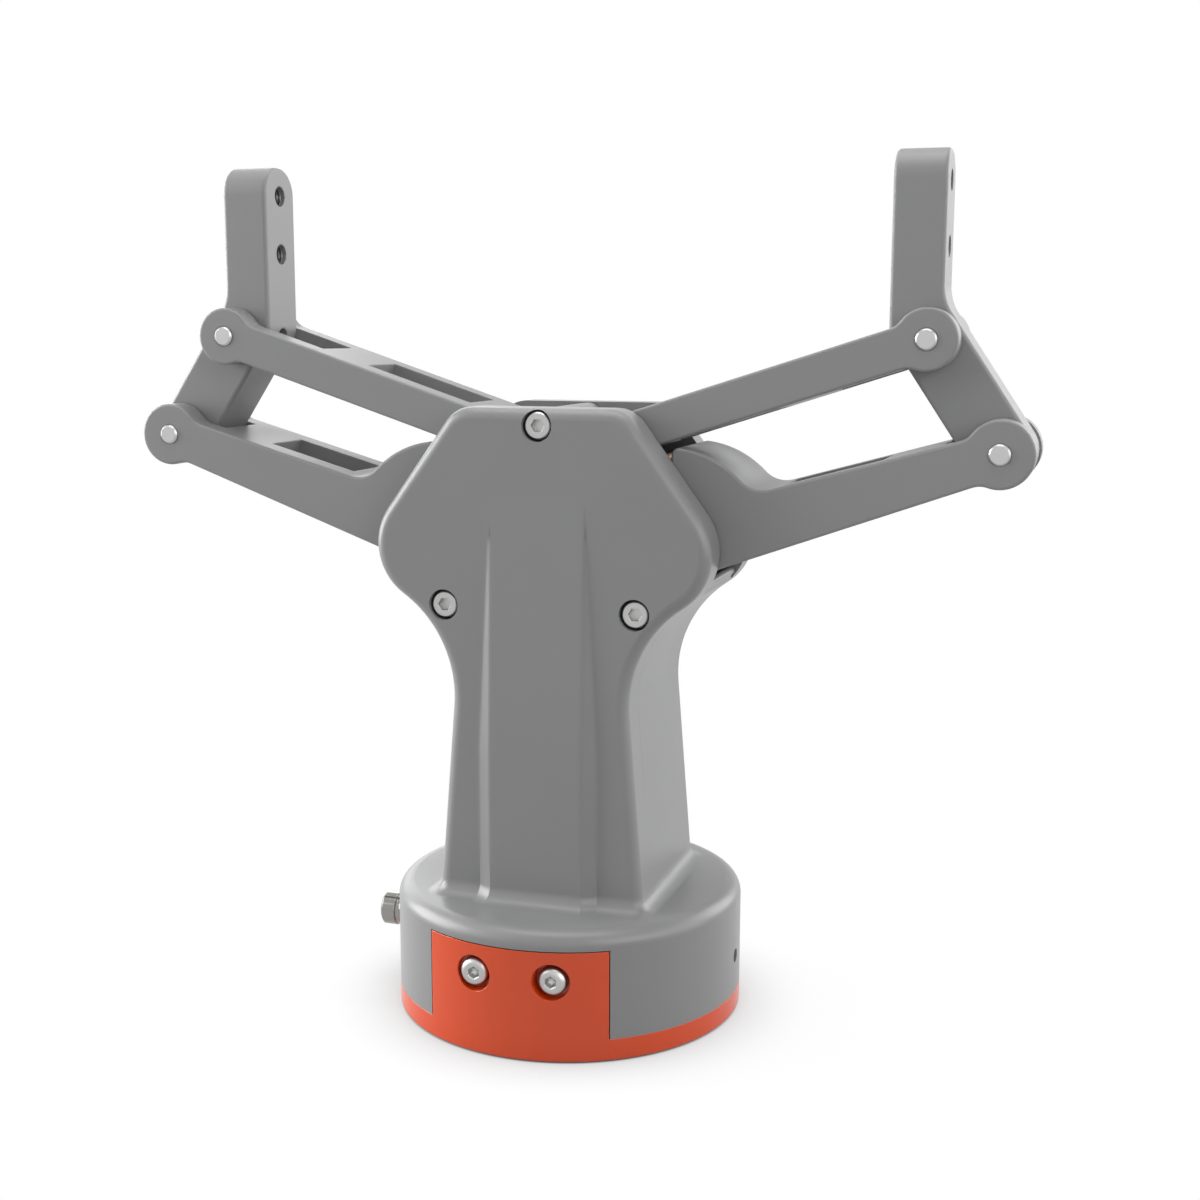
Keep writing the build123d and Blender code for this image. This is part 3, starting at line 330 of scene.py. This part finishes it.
def marks(name, rows):
    """Points for a tree to copy a shape to: place, turn as angles and size of each copy."""
    mesh = bpy.data.meshes.new(name)
    mesh.from_pydata([row[0] for row in rows], [], [])
    for label, column in (("turn", 1), ("size", 2)):
        values = mesh.attributes.new(label, "FLOAT_VECTOR", "POINT")
        values.data.foreach_set("vector", [v for row in rows for v in row[column]])
    return mesh


net = Net("copies_at_marks", {"Shape": "Object", "Finish": "Material"})
single = net.node("GeometryNodeObjectInfo", {"Object": net.given["Shape"], "As Instance": True}, "Geometry")
turn = net.node("GeometryNodeInputNamedAttribute", {"Name": "turn"}, data_type="FLOAT_VECTOR")
large = net.node("GeometryNodeInputNamedAttribute", {"Name": "size"}, data_type="FLOAT_VECTOR")
turned_by = net.node("FunctionNodeEulerToRotation", {0: turn})
spots = net.node("GeometryNodeMeshToPoints", {"Mesh": net.given["Geometry"]})
copies = net.close(net.node("GeometryNodeInstanceOnPoints", {"Points": spots, "Instance": single,
                                                             "Rotation": turned_by, "Scale": large}))


def copy_to_marks(name, mesh, rows, body, slot, finish):
    """Copies one shape to every mark and leaves nothing else behind."""
    single = bpy.data.objects.new(name + "_single", mesh)
    bpy.context.scene.collection.objects.link(single)
    piece = made_by(copies, name, marks(name + "_marks", rows), body, slot, Shape=single, Finish=finish)
    bpy.data.objects.remove(single)
    return piece


rows = [((x, y, dome_z), (-math.copysign(math.pi / 2, y), 0.0, 0.0), (1.0, 1.0, 1.0))
        for x in (-dome_x, dome_x) for y in (-dome_foot_y, dome_foot_y)]
dome_screws = copy_to_marks("adapter_dome_screws", dome_screw("dome_screw"), rows, "housing", "screw_steel",
                            stainless)
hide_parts("adapter_screws")

# Cable connector in the side of the base
# Nickel-plated brass shell with a hexagon nut inside, a black insert and four gilt contacts.


def moulded(name, colour, roughness, pitting=0.00001):
    """Injection-moulded plastic with a spark-eroded texture."""
    material, shader, place = start_finish(name)
    texture = place.noise(3800.0, 3.0)
    clouds = place.noise(70.0, 3.0)
    rounded, edge = soft_edges(place, 0.00025)
    tone = (clouds * 0.6 + texture * 0.4).held().tint(shade(colour, 0.85), shade(colour, 1.2))
    both = (edge * 0.35).tint(tone, shade(colour, 1.9))
    gloss = roughness + (clouds - 0.5) * 0.14 + (texture - 0.5) * 0.1
    close_finish(shader, both, gloss, texture, pitting, rounded)
    return material


nickel = plated("nickel_plated_brass", (0.28, 0.275, 0.262), 0.14, 0.000001)
black_insert = moulded("black_insert", (0.022, 0.022, 0.023), 0.45)
gilt = plated("gilt_contacts", (0.86, 0.62, 0.26), 0.2, 0.000001)
dress(nickel, "connector_shell", "connector_nut")
dress(black_insert, "connector_insert")
dress(gilt, "connector_contacts")

# Controller board on its four posts inside the base
# Glass-fibre laminate under green solder mask, with copper lanes that show through as paler lines.


def masked_board(name, green, lane, copper):
    material, shader, place = start_finish(name, coat=0.35)
    weave = place.noise(2600.0, 1.0)
    blocks = place.node("ShaderNodeTexVoronoi", {"feature": "F1", "distance": "CHEBYCHEV"},
                        {"Vector": place, "Scale": 150.0, "Randomness": 0.9}, "Distance")
    lanes = place.node("ShaderNodeTexWave", {"wave_type": "BANDS", "bands_direction": "DIAGONAL"},
                       {"Vector": place, "Scale": 420.0, "Distortion": 0.0}, 1)
    line = lanes.rise(0.62, 0.72) * place.noise(110.0, 0.0).rise(0.5, 0.52)
    pads = 1 - blocks.rise(0.055, 0.07)
    rounded, edge = soft_edges(place, 0.0001)
    base = (weave * 0.5 + 0.25).tint(shade(green, 0.9), shade(green, 1.15))
    both = pads.tint(line.tint(base, lane + (1.0,)), copper + (1.0,))
    close_finish(shader, both, 0.34 + (weave - 0.5) * 0.15 - pads * 0.1, line + pads * 0.6, 0.00003, rounded)
    return material


laminate = masked_board("green_laminate", (0.008, 0.085, 0.035), (0.02, 0.16, 0.07), (0.7, 0.45, 0.16))
dress(laminate, "controller_board")
dress(plated("zinc_posts", (0.55, 0.55, 0.52), 0.38), "board_standoffs", "board_screws")

board_top = 0.0196
chips = ((-0.005, 0.004, 0.009, 0.009, 0.0011, 12), (0.008, -0.004, 0.007, 0.007, 0.0010, 9),
         (-0.008, -0.009, 0.005, 0.004, 0.0012, 4), (0.009, 0.007, 0.005, 0.004, 0.0012, 4))
cans = ((0.003, -0.0155, 0.0021, 0.0028), (-0.003, -0.0165, 0.0021, 0.0028), (0.0, 0.0165, 0.0025, 0.0031))
lead_pitch, lead_root = 0.00065, 0.0002
lead_size, resistor_size = (0.0007, 0.00028, 0.0007), (0.0008, 0.0016, 0.00055)
chip_clear, can_clear = 0.0016, 0.0012


def package(name):
    """Moulded body one unit large, standing on z = 0, with slanting sides."""
    corners = ((-1, -1), (0, -1), (1, -1), (1, 0), (1, 1), (0, 1), (-1, 1), (-1, 0))
    outline = ((0.48, 0.06), (0.5, 0.3), (0.47, 0.94), (0.45, 1.0))
    mesh = skin(name, [[(half * x, half * y, height) for x, y in corners] for half, height in outline])
    mesh.shade_flat()
    return mesh


def lead(name):
    """Gull-wing lead one unit long along X: out of the package, down and along the board."""
    line = ((0.0, 0.62), (0.3, 0.62), (0.52, 0.5), (0.66, 0.12), (0.78, 0.0), (1.0, 0.0))
    rings = [[(x, -0.5, z), (x, 0.5, z), (x, 0.5, z + 0.16), (x, -0.5, z + 0.16)] for x, z in line]
    mesh = skin(name, rings)
    mesh.shade_flat()
    return mesh


black_package = moulded("black_package", (0.014, 0.014, 0.015), 0.5)
tinned = plated("tinned_leads", (0.6, 0.6, 0.58), 0.3, 0.000001)
chip_rows = [((x, y, board_top), (0.0, 0.0, 0.0), (wide, deep, tall)) for x, y, wide, deep, tall, n in chips]
copy_to_marks("board_chips", package("package"), chip_rows, "housing", "black_plastic", black_package)
lead_rows = []
for x, y, wide, deep, tall, n in chips:
    for quarter in range(4 if wide == deep else 2):
        turn = quarter * (math.pi / 2 if wide == deep else math.pi)
        for k in range(n):
            across = (k - (n - 1) / 2) * lead_pitch
            out = wide / 2 - lead_root
            lead_rows.append(((x + out * math.cos(turn) - across * math.sin(turn),
                               y + out * math.sin(turn) + across * math.cos(turn), board_top),
                              (0.0, 0.0, turn), lead_size))
copy_to_marks("board_leads", lead("gull_wing"), lead_rows, "housing", "screw_steel", tinned)
can_outline = ((0.94, 0.0), (1.0, 0.06), (1.0, 0.2), (0.93, 0.24), (1.0, 0.28), (1.0, 0.94), (0.92, 1.0),
               (0.3, 0.985))
can = skin("can", [circle(radius, height, 24) for radius, height in can_outline])
can_rows = [((x, y, board_top), (0.0, 0.0, 0.0), (radius, radius, tall)) for x, y, radius, tall in cans]
copy_to_marks("board_capacitors", can, can_rows, "housing", "motor_can",
              plated("capacitor_cans", (0.66, 0.67, 0.68), 0.28, 0.000001))
small_rows = []
for ring_radius, count, shift in ((0.0125, 13, 0.1), (0.0142, 15, 0.3)):
    for k in range(count):
        turn = shift + math.tau * k / count
        x, y = ring_radius * math.cos(turn), ring_radius * math.sin(turn)
        beside_chips = all(abs(x - c[0]) > c[2] / 2 + chip_clear or abs(y - c[1]) > c[3] / 2 + chip_clear
                           for c in chips)
        if beside_chips and all(math.hypot(x - c[0], y - c[1]) > c[2] + can_clear for c in cans):
            small_rows.append(((x, y, board_top), (0.0, 0.0, turn), resistor_size))
copy_to_marks("board_resistors", package("chip_resistor"), small_rows, "housing", "black_plastic",
              moulded("resistor_bodies", (0.05, 0.045, 0.04), 0.4))

# Column: inner frame with its two shells and the spacer between their tops
# Milled aluminium with the same grey skin as the base; the two shells close on the frame.

dress(grey_shell, "body_frame", "front_cover", "rear_cover", "top_spacer", "bearing_bridge")

# Where the column flares, the two shells and the frame are filed flush after they are screwed together.
# The line they are filed to is the rim of the rear cover: its widest point at each level of the flare.
rim_y, waist_x, flare_foot, filed_top = 0.01265, 0.0188, 0.06, 0.0935
level_height, filed_step, step_back = 0.0004, 0.0009, 0.0005
rim_play, past_top = 0.00002, 0.002
widest = {}
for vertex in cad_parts["rear_cover"].data.vertices:
    x, y, z = vertex.co
    if abs(y - rim_y) < rim_play and x > waist_x and flare_foot < z < filed_top + past_top:
        level = round(z / level_height)
        widest[level] = max(widest.get(level, (0.0, 0.0)), (x, z))
edge_line, reached = [], 0.0
for z, x in sorted((z, x) for x, z in widest.values()):
    if x >= reached - step_back:
        edge_line.append((z, x))
    reached = max(reached, x)


def flush_x(z):
    """Half width of the shells at a height of the flare."""
    for (low_z, low_x), (high_z, high_x) in zip(edge_line, edge_line[1:]):
        if low_z <= z <= high_z:
            return low_x + (high_x - low_x) * (z - low_z) / max(high_z - low_z, 1e-9)
    return None


filed_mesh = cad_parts["body_frame"].data.copy()
filed_mesh.name = "filed_frame"
for vertex in filed_mesh.vertices:
    x, y, z = vertex.co
    target = flush_x(z) if z < filed_top else None
    if target and target - filed_step < abs(x) < target:
        vertex.co.x = math.copysign(target, x)
filed_frame = bpy.data.objects.new("filed_frame", filed_mesh)
bpy.context.scene.collection.objects.link(filed_frame)
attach(filed_frame, "housing")
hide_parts("body_frame")
dress(stainless, "front_cover_screws", "rear_cover_screws")
dress(plated("blackened_screws", (0.06, 0.06, 0.062), 0.42), "frame_screws", "gearbox_screws",
      "right_wheel_screws", "left_wheel_screws", "right_pin_lock_screw", "left_pin_lock_screw")

# Drive: motor, gearbox and the worm on its shaft
# Turned steel parts with tool rings round their axis; the worm's threads are ground bright.


def turned(name, colour, roughness, axis, node, rings=5200.0, relief=0.000003):
    """Turned metal: fine tool rings round an axis through the middle of a node, on ends and sides alike."""
    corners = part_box(node)
    centre = (Vector(corners[0]) + Vector(corners[1])) / 2
    along = Vector([1.0 if letter == axis else 0.0 for letter in "XYZ"])
    material, shader, place = start_finish(name, metallic=1.0)
    local = place.node("ShaderNodeMapping", None, {"Vector": place, "Location": -centre})
    across = Vector((1, 1, 1)) - along
    flat = local.node("ShaderNodeVectorMath", {"operation": "MULTIPLY"}, {0: local, 1: across})
    radius = flat.node("ShaderNodeVectorMath", {"operation": "LENGTH"}, {0: flat}, "Value")
    height = local.node("ShaderNodeVectorMath", {"operation": "DOT_PRODUCT"}, {0: local, 1: along}, "Value")
    lines = place.node("ShaderNodeTexNoise", {"noise_dimensions": "1D"},
                       {"W": radius + height, "Scale": rings, "Detail": 2.0})
    clouds = place.noise(120.0, 3.0)
    rounded, edge = soft_edges(place, 0.00018)
    tone = (lines * 0.7 + clouds * 0.3).held().tint(shade(colour, 0.9), shade(colour, 1.08))
    both = (edge * clouds).held().tint(tone, shade(colour, 1.12))
    gloss = roughness + (lines - 0.5) * 0.16 + (clouds - 0.5) * 0.12
    close_finish(shader, both, gloss, lines, relief, rounded)
    return material


dress(turned("motor_can", (0.34, 0.345, 0.35), 0.36, "Z", "motor"), "motor")
dress(turned("gearbox_can", (0.5, 0.5, 0.49), 0.3, "Z", "gearbox"), "gearbox")
dress(moulded("encoder_cap", (0.018, 0.018, 0.02), 0.5), "motor_encoder")
dress(turned("worm_steel", (0.56, 0.56, 0.56), 0.22, "Z", "worm"), "worm", "worm_shaft")
dress(turned("bearing_rings", (0.62, 0.62, 0.62), 0.15, "Z", "worm_bearing_outer"), "worm_bearing_outer",
      "worm_bearing_inner", "worm_bearing_balls")

# Cranks, upper links and fingers
# Milled from aluminium bar with the same blasted grey skin, but a fresher, slightly paler anodising.
# Bronze wheel sectors and bushes turn on ground steel shafts and pins.

arm_skin = blasted("grey_anodised_arms", (0.24, 0.241, 0.242), 0.43, 0.00045)
bush_bronze = (0.4, 0.24, 0.1)
for side in ("right", "left"):
    dress(arm_skin, side + "_crank", side + "_upper_link", side + "_finger")
    dress(turned(side + "_wheel_bronze", (0.25, 0.16, 0.08), 0.3, "Y", side + "_crank_shaft"),
          side + "_worm_wheel", side + "_crank_bushes")
    dress(turned(side + "_link_bronze", bush_bronze, 0.32, "Y", side + "_link_pivot_pin"),
          side + "_link_bushes")
    dress(turned(side + "_finger_bronze", bush_bronze, 0.32, "Y", side + "_crank_pin"), side + "_finger_bush")
    for pin in ("crank_shaft", "link_pivot_pin", "crank_pin", "finger_pin"):
        node = side + "_" + pin
        dress(turned(node + "_steel", (0.42, 0.42, 0.42), 0.36, "Y", node), node)

# Thread inserts in the mounting holes of the fingers
# A coil of stainless wire is wound into each tapped hole, so that screws hold in the aluminium.

insert_wire, insert_radius, insert_pitch, insert_length = 0.00022, 0.00208, 0.0007, 0.0091
insert_tops, insert_mouth = (0.1741, 0.1617), 0.0676

net = Net("wound_inserts", {"Wire": "Float", "Radius": "Float", "Pitch": "Float", "Length": "Float",
                            "Finish": "Material"})
radius, length = net.given["Radius"], net.given["Length"]
turns = net.node("ShaderNodeMath", {0: length, 1: net.given["Pitch"]}, operation="DIVIDE")
coil = net.node("GeometryNodeCurveSpiral", {"Resolution": 28, "Rotations": turns, "Height": length,
                                            "Start Radius": radius, "End Radius": radius})
wire = net.node("GeometryNodeCurvePrimitiveCircle", {"Resolution": 6, "Radius": net.given["Wire"]})
wound = net.node("GeometryNodeCurveToMesh", {"Curve": coil, "Profile Curve": wire, "Fill Caps": True})
spots = net.node("GeometryNodeMeshToPoints", {"Mesh": net.given["Geometry"]})
turn = net.node("GeometryNodeInputNamedAttribute", {"Name": "turn"}, data_type="FLOAT_VECTOR")
turned_by = net.node("FunctionNodeEulerToRotation", {0: turn})
inserts = net.close(net.node("GeometryNodeInstanceOnPoints", {"Points": spots, "Instance": wound,
                                                              "Rotation": turned_by}))
insert_steel = plated("insert_wire", (0.16, 0.16, 0.16), 0.38)
for side, way in (("right", 1.0), ("left", -1.0)):
    rows = [((way * insert_mouth, 0.0, z), (0.0, way * math.pi / 2, 0.0), (1.0, 1.0, 1.0))
            for z in insert_tops]
    made_by(inserts, side + "_thread_inserts", marks(side + "_insert_marks", rows), side + "_finger_body",
            "screw_steel", Wire=insert_wire, Radius=insert_radius, Pitch=insert_pitch, Length=insert_length,
            Finish=insert_steel)

# Studio: pale floor, softboxes round the object and a white backdrop
# Near the base the floor shows the object's shadow: a tenth of it is lit paint with real shadow, the rest is
# white glow dimmed by ambient occlusion, a painted shadow. Further out it turns into plain white.
# What the camera sees of it, or a mirror shows, is white; to the lamps it is dull, so it tints nothing.


def looked_at(start):
    """1 where the camera sees a thing straight, in a mirror or through glass."""
    seen, mirrored, through = (start.node("ShaderNodeLightPath", output=f"Is {ray} Ray")
                               for ray in ("Camera", "Glossy", "Transmission"))
    return (seen + mirrored + through).held()


bpy.ops.mesh.primitive_plane_add(size=8.0, location=(0, 0, 0))
floor = bpy.context.object
floor.name = "floor"
shadow_start, shadow_end, shadow_reach = 0.035, 0.09, 0.024
shut_in, in_the_open = -0.25, 0.95
paint = bpy.data.materials.new("floor_paint")
paint.use_nodes = True
tree = paint.node_tree
tree.nodes.clear()
start = Wire(tree)
spot = start.node("ShaderNodeTexCoord", output="Object")
reach = spot.node("ShaderNodeVectorMath", {"operation": "LENGTH"}, {0: spot}, "Value")
near = start.node("ShaderNodeBsdfDiffuse", None, {"Color": (0.97, 0.97, 0.97, 1)})
# Painted shadow: ambient occlusion dims the floor's white glow where the object stands close over it.
open_sky = start.node("ShaderNodeAmbientOcclusion", {"samples": 16}, {"Distance": shadow_reach}, "AO")
glow_with_painted_shadow = start.node("ShaderNodeEmission", None, {"Color": (1, 1, 1, 1),
                                              "Strength": open_sky.rise(shut_in, in_the_open)})
whiteness = 0.9 + 0.1 * reach.rise(shadow_start, shadow_end)
bright = start.node("ShaderNodeMixShader", None, {0: whiteness, 1: near, 2: glow_with_painted_shadow})
dull = start.node("ShaderNodeBsdfDiffuse", None, {"Color": (0.35, 0.35, 0.35, 1)})
whole = start.node("ShaderNodeMixShader", None, {0: looked_at(start), 1: dull, 2: bright})
tree.links.new(whole.socket, tree.nodes.new("ShaderNodeOutputMaterial").inputs[0])
floor.data.materials.append(paint)

lamp_aim = Vector((0, 0, 0.08))
lamps = (("right_box", (1.0, 0.0, 0.3), 0.8, 3.6), ("right_rear_box", (0.8, 0.9, 0.5), 0.8, 7.5),
         ("left_box", (-1.0, -0.1, 0.3), 0.8, 16.3), ("top_box", (0.0, 0.0, 1.2), 1.0, 9.3),
         ("front_box", (0.1, -1.2, 0.4), 0.8, 0.9), ("right_front_box", (1.0, -0.8, 0.6), 0.8, 6.0),
         ("left_front_box", (-1.0, -0.8, 0.6), 0.8, 2.9), ("left_rear_box", (-0.8, 0.9, 0.5), 0.8, 4.3))
for name, place, width, power in lamps:
    light = bpy.data.lights.new(name, "AREA")
    light.shape, light.size, light.energy = "SQUARE", width, power
    lamp = bpy.data.objects.new(name, light)
    bpy.context.scene.collection.objects.link(lamp)
    lamp.location = place
    lamp.rotation_euler = (lamp_aim - Vector(place)).to_track_quat("-Z", "Y").to_euler()

world = bpy.data.worlds.new("studio")
bpy.context.scene.world = world
world.use_nodes = True
tree = world.node_tree
tree.nodes.clear()
start = Wire(tree)
white = start.node("ShaderNodeBackground", None, {"Color": (1, 1, 1, 1), "Strength": 1.0})
fill = start.node("ShaderNodeBackground", None, {"Color": (1, 1, 1, 1), "Strength": 0.0})
air = start.node("ShaderNodeMixShader", None, {0: looked_at(start), 1: fill, 2: white})
tree.links.new(air.socket, tree.nodes.new("ShaderNodeOutputWorld").inputs[0])

# Camera, held a little to the right and a little above the middle of the object
# It stands where the photograph was taken from, with a long lens and a trace of roll.

eye, middle, roll = Vector((0.1127, -0.3286, 0.14574)), Vector((0.00604, 0.00199, 0.08837)), 0.0027
lens = bpy.data.cameras.new("camera")
camera = bpy.data.objects.new("camera", lens)
bpy.context.scene.collection.objects.link(camera)
lens.lens, lens.sensor_width, lens.clip_start = 49.2, 36, 0.01
camera.location = eye
camera.rotation_mode = "QUATERNION"
camera.rotation_quaternion = (middle - eye).to_track_quat("-Z", "Y") @ Quaternion((0, 0, 1), roll)
bpy.context.scene.camera = camera
bpy.context.scene.view_settings.view_transform = "Standard"
